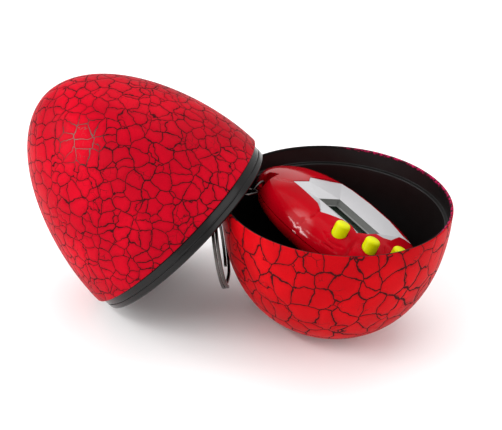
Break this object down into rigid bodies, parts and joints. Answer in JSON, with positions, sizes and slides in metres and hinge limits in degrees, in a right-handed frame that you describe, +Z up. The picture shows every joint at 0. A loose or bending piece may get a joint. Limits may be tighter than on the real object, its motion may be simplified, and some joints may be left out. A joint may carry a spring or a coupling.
{
  "type": "virtual pet keychain",
  "caption": "Round-bodied virtual pet on a keychain, lying in the open bowl of a red egg-shaped case; the case's other half leans on the bowl's rim.",
  "frame": {"origin": "centre of the small flat foot under the bowl", "axes": "+Z up, +X from the leaning cap towards the bowl, +Y away from the side where the buttons are"},
  "size_m": [0.123, 0.0736, 0.0687],
  "materials": {
    "egg_red": "satin",
    "collar_black": "gloss",
    "ballast_steel": "satin",
    "ballast_black": "satin",
    "pet_red": "gloss",
    "pet_dark_red": "gloss",
    "face_white": "gloss",
    "frame_grey": "satin",
    "window_clear": "gloss",
    "lcd_green": "satin",
    "rubber_grey": "matt",
    "board_green": "satin",
    "chip_black": "gloss",
    "piezo_brass": "satin",
    "button_yellow": "gloss",
    "battery_steel": "satin",
    "contact_steel": "satin",
    "screw_steel": "satin",
    "chain_steel": "gloss"
  },
  "bodies": {
    "bowl": {"egg_bowl": "egg_red", "ballast_weight": "ballast_steel", "ballast_cover": "ballast_black"},
    "cap": {"egg_cap": "egg_red", "cap_collar": "collar_black"},
    "pet": {"front_shell": "pet_red", "back_shell": "pet_dark_red", "battery_door": "pet_dark_red", "faceplate": "face_white", "screen_frame": "frame_grey", "screen_window": "window_clear", "lcd_panel": "lcd_green", "zebra_connector": "rubber_grey", "circuit_board": "board_green", "chip_blob": "chip_black", "piezo_buzzer": "piezo_brass", "button_pad": "rubber_grey", "battery_1": "battery_steel", "battery_2": "battery_steel", "battery_contact_positive": "contact_steel", "battery_contact_negative": "contact_steel", "battery_contact_bridge": "contact_steel", "case_screw_1": "screw_steel", "case_screw_2": "screw_steel", "case_screw_3": "screw_steel", "case_screw_4": "screw_steel", "battery_door_screw": "screw_steel"},
    "button_left_body": {"button_left": "button_yellow"},
    "button_middle_body": {"button_middle": "button_yellow"},
    "button_right_body": {"button_right": "button_yellow"},
    "jump_ring_body": {"jump_ring": "chain_steel"},
    "chain_link_1_body": {"chain_link_1": "chain_steel"},
    "chain_link_2_body": {"chain_link_2": "chain_steel"},
    "chain_link_3_body": {"chain_link_3": "chain_steel"},
    "chain_link_4_body": {"chain_link_4": "chain_steel"},
    "split_ring_body": {"split_ring": "chain_steel"}
  },
  "joints": [
    {"name": "cap_swing", "type": "hinge", "parent": "bowl", "child": "cap", "pos_m": [0.00592, -0.00097, -0.0137], "axis": [-0.1616, -0.9869, 0], "range_deg": [-47.57, 0]},
    {"name": "pet_lift", "type": "slide", "parent": "bowl", "child": "pet", "axis": [0, 0, 1], "range_m": [0, 0.002]},
    {"name": "button_left_press", "type": "slide", "parent": "pet", "child": "button_left_body", "axis": [-0.3652, -0.091, -0.9265], "range_m": [0, 0.0008], "stiffness_N_per_m": 250},
    {"name": "button_middle_press", "type": "slide", "parent": "pet", "child": "button_middle_body", "axis": [-0.3652, -0.091, -0.9265], "range_m": [0, 0.0008], "stiffness_N_per_m": 250},
    {"name": "button_right_press", "type": "slide", "parent": "pet", "child": "button_right_body", "axis": [-0.3652, -0.091, -0.9265], "range_m": [0, 0.0008], "stiffness_N_per_m": 250},
    {"name": "jump_ring_hinge", "type": "hinge", "parent": "pet", "child": "jump_ring_body", "pos_m": [-0.02118, 0.00854, 0.03792], "axis": [-0.7618, 0.6012, 0.2412], "range_deg": [0, 3]},
    {"name": "chain_link_1_hinge", "type": "hinge", "parent": "jump_ring_body", "child": "chain_link_1_body", "pos_m": [-0.02363, 0.00496, 0.03911], "axis": [-0.8253, 0.5646, 0], "range_deg": [0, 3]},
    {"name": "chain_link_2_hinge", "type": "hinge", "parent": "chain_link_1_body", "child": "chain_link_2_body", "pos_m": [-0.02668, 0.0005, 0.04058], "axis": [-0.8253, 0.5646, 0], "range_deg": [0, 3]},
    {"name": "chain_link_3_hinge", "type": "hinge", "parent": "chain_link_2_body", "child": "chain_link_3_body", "pos_m": [-0.02868, -0.00351, 0.04205], "axis": [-0.3714, 0.9285, 0], "range_deg": [0, 4]},
    {"name": "chain_link_4_hinge", "type": "hinge", "parent": "chain_link_3_body", "child": "chain_link_4_body", "pos_m": [-0.0349, -0.006, 0.04315], "axis": [-0.0175, 0.9998, 0], "range_deg": [0, 8]},
    {"name": "split_ring_hinge", "type": "hinge", "parent": "chain_link_4_body", "child": "split_ring_body", "pos_m": [-0.0349, -0.006, 0.03796], "axis": [-0.0175, 0.9998, 0], "range_deg": [0, 16]}
  ]
}
